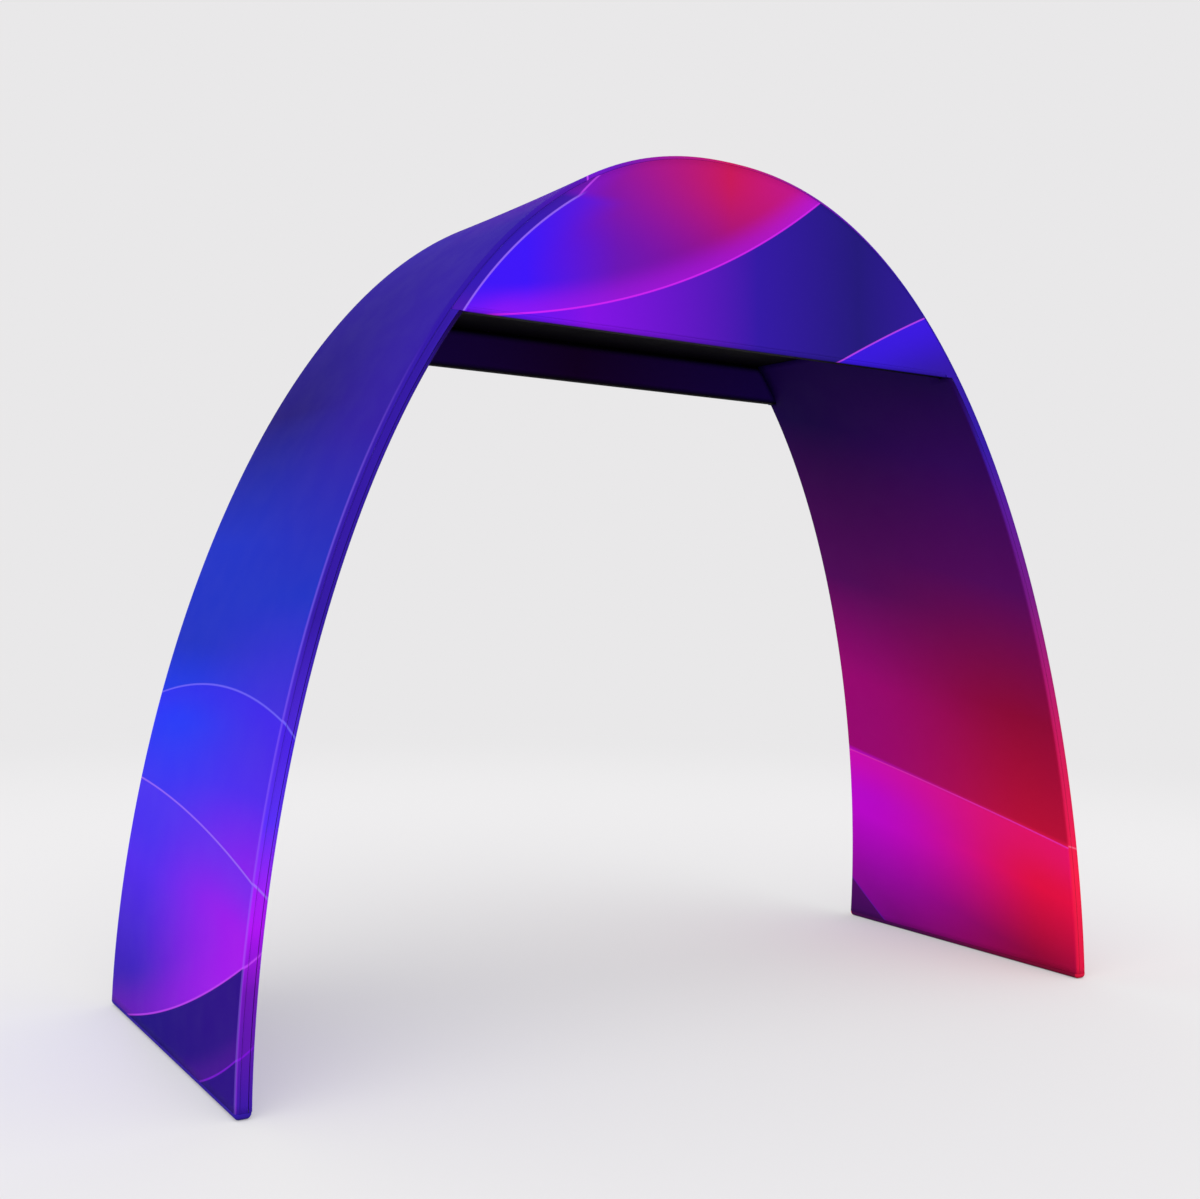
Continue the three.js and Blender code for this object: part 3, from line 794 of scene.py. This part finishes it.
def underside_shade():
    """Knit of the undersides, painted nearly black as shade, save for the header's rounded bottom edge,
    which keeps the header's print.
    """
    cloth = Print("stretch polyester knit, undersides in painted shade")
    tree = cloth.tree
    header_colour(cloth)
    # Painted shade, deepest along the header's bottom fold and up at the soffit
    at_bottom = node(tree, "MapRange", cloth.z, LINTEL, LINTEL + 0.02, 1.0, 0.0, **SMOOTH)
    at_top = node(tree, "MapRange", cloth.z, SOFFIT - 0.03, SOFFIT - 0.004, **SMOOTH)
    shaded = node(tree, "Math", at_bottom, at_top, operation="ADD", use_clamp=True)
    dark = node(tree, "Mix", shaded, gradient(tree, cloth.x, UNDERSIDE_SHADE, SHADE_GAIN), dye("deep shade"),
                **COLOUR_MIX)
    cloth.lay(dark, node(tree, "MapRange", cloth.inset, 0.004, 0.013, **SMOOTH))
    return cloth.knit()


def metal(name, colour, metallic, roughness, grain):
    """A finish whose shine is broken up by fine marks, which grain stretches along an axis."""
    material, tree = empty_material(name)
    place = node(tree, "TexCoord").outputs["Object"]
    stretched = node(tree, "Mapping", named={"Vector": place, "Scale": grain})
    marks = node(tree, "TexNoise", named={"Vector": stretched, "Scale": 1 / METAL_MARK, "Detail": 4.0})
    bump = node(tree, "Bump", named={"Strength": 0.3, "Distance": 0.0003, "Height": marks})
    tone = node(tree, "Mix", marks, linear(colour, (0.85,) * 3), linear(colour, (1.1,) * 3), **COLOUR_MIX)
    rough = node(tree, "MapRange", marks, 0.3, 0.7, roughness - 0.08, roughness + 0.08, **SMOOTH)
    shader = node(tree, "BsdfPrincipled", named={
        "Base Color": tone, "Metallic": metallic, "Normal": bump, "Roughness": rough})
    node(tree, "OutputMaterial", shader)
    return material


def mill_finish():
    """Aluminium as it comes out of the die: pale, half bright, with soft marks drawn out upwards."""
    return metal("mill-finish extruded aluminium", "#c9ccd0", 1.0, 0.38, (1.0, 1.0, 0.1))


def powder_coat():
    """Powder coat on steel: nearly black and satin, with a slightly uneven surface."""
    return metal("black powder-coated steel", "#1e1e20", 0.0, 0.55, (1.0, 1.0, 1.0))


def finish_frame():
    """Gives the tubes and bars inside the cover their finish."""
    tube, bar = mill_finish(), powder_coat()
    for name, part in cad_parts.items():
        if "_tube_" in name or name.startswith("base_bar"):
            for slot in part.material_slots:
                slot.material = bar if name.startswith("base_bar") else tube


def backdrop(studio_tone, floor_tone):
    """A pale floor that goes over, well away from the arch, into the even tone of the background."""
    bpy.ops.object.select_all(action="DESELECT")
    bpy.ops.mesh.primitive_plane_add(size=120)
    floor = bpy.context.object
    floor.name = "studio_floor"
    material, tree = empty_material("matt pale studio floor")
    place = node(tree, "TexCoord").outputs["Object"]
    distance = node(tree, "VectorMath", place, operation="LENGTH")
    evenness = node(tree, "MapRange", distance, 3.5, 9.0, 0.35, 1.0, **SMOOTH)
    matt = node(tree, "BsdfDiffuse", floor_tone, 0.0)
    even = node(tree, "Emission", studio_tone, 1.0)
    node(tree, "OutputMaterial", node(tree, "MixShader", evenness, matt, even))
    floor.data.materials.append(material)
    world = bpy.data.worlds.new("even studio light")
    bpy.context.scene.world = world
    world.use_nodes = True
    background = world.node_tree.nodes["Background"]
    background.inputs["Color"].default_value = studio_tone
    background.inputs["Strength"].default_value = 1.0


def lights():
    """One broad soft key from above and the front left."""
    lamp = bpy.data.lights.new("soft key", "SUN")
    lamp.energy = 1.2
    lamp.angle = math.radians(70)
    key = bpy.data.objects.new("soft key", lamp)
    key.rotation_euler = Vector((0.55, 0.75, -1.5)).to_track_quat("-Z", "Y").to_euler()
    bpy.context.scene.collection.objects.link(key)


def camera():
    """At chest height to the front left of the arch, level, with a slight turn about its own axis."""
    place = (-2.6732, -4.0204, 1.2625)
    yaw, roll = 0.5607, 0.0242
    # Pixels of the frame, which is 1200 wide
    focal_length, half_frame = 1491.46, 600
    data = bpy.data.cameras.new("camera")
    data.angle = 2 * math.atan(half_frame / focal_length)
    seen_from = bpy.data.objects.new("camera", data)
    bpy.context.scene.collection.objects.link(seen_from)
    forward = Vector((math.sin(yaw), math.cos(yaw), 0))
    level = Vector((math.cos(yaw), -math.sin(yaw), 0))
    up = Vector((0, 0, 1))
    right = level * math.cos(roll) + up * math.sin(roll)
    top = up * math.cos(roll) - level * math.sin(roll)
    turned = Matrix((right, top, -forward)).transposed().to_4x4()
    seen_from.matrix_world = Matrix.Translation(place) @ turned
    bpy.context.scene.camera = seen_from


def build():
    """The covers with their prints, the frame's finishes and the studio."""
    outer, inner, faces = outer_print(), inner_print(), face_print()
    under, ends = underside_shade(), foot_print()
    outer_cover(outer)
    for hand in (-1, 1):
        inner_cover(hand, inner)
        foot(hand, ends)
        for side in (-1, 1):
            leg_face(hand, side, faces)
    for side in (-1, 1):
        header_face(side, faces)
        header_return(side, under)
    soffit(under)
    finish_frame()
    # The floor is a touch less green than the grey of its code
    backdrop(studio_tone=linear("#e9e8e9"), floor_tone=linear("#e6e6e6", (0.998, 0.995, 0.998)))
    lights()
    camera()
    bpy.context.scene.view_settings.view_transform = "Standard"


build()
